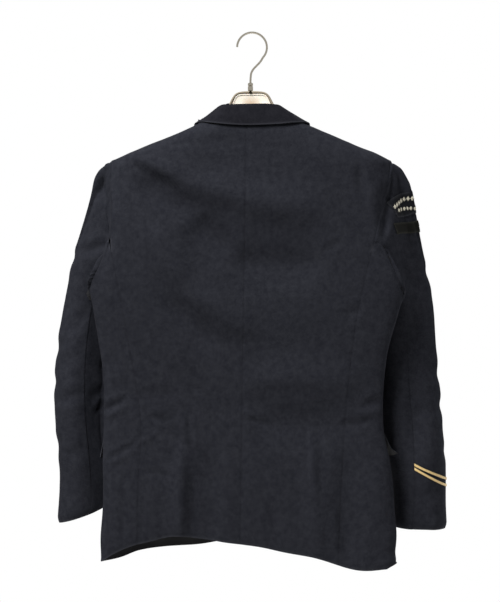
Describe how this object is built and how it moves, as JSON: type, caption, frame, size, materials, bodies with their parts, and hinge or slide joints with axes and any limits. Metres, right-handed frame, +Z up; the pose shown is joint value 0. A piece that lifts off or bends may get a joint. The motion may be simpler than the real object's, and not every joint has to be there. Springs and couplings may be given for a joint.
{
  "type": "tailored jacket on hanger",
  "caption": "Tailored jacket hung on a moulded hanger: notch lapels, two-piece sleeves, flap pockets, braid on one cuff, and a steel hook that hangs on a rail.",
  "frame": {"origin": "inside of the hook's crown, where a rail carries it", "axes": "+Z up along the hanging line, +Y towards the jacket's front, +X to the wearer's right"},
  "size_m": [0.6788, 0.1623, 0.9079],
  "materials": {
    "cloth": "matte navy wool serge",
    "gold_braid": "metallic thread braid",
    "velvet": "black velvet strip",
    "felt": "black felt patch",
    "button": "polished dark resin",
    "steel": "polished",
    "moulding": "moulded, satin",
    "web": "moulded, satin"
  },
  "bodies": {
    "root": {"back_left": "cloth", "back_right": "cloth", "side_panel_left": "cloth", "side_panel_right": "cloth", "front_left": "cloth", "front_right": "cloth", "lapel_left": "cloth", "lapel_right": "cloth", "top_sleeve_left": "cloth", "top_sleeve_right": "cloth", "under_sleeve_left": "cloth", "under_sleeve_right": "cloth", "collar": "cloth", "pocket_flap_left": "cloth", "pocket_flap_right": "cloth", "braid_1": "gold_braid", "braid_2": "gold_braid", "arm_band": "velvet", "sleeve_badge": "felt", "front_button_1": "button", "front_button_2": "button", "hook": "steel", "ferrule": "steel", "hanger": "moulding", "hanger_web": "web"}
  },
  "joints": []
}
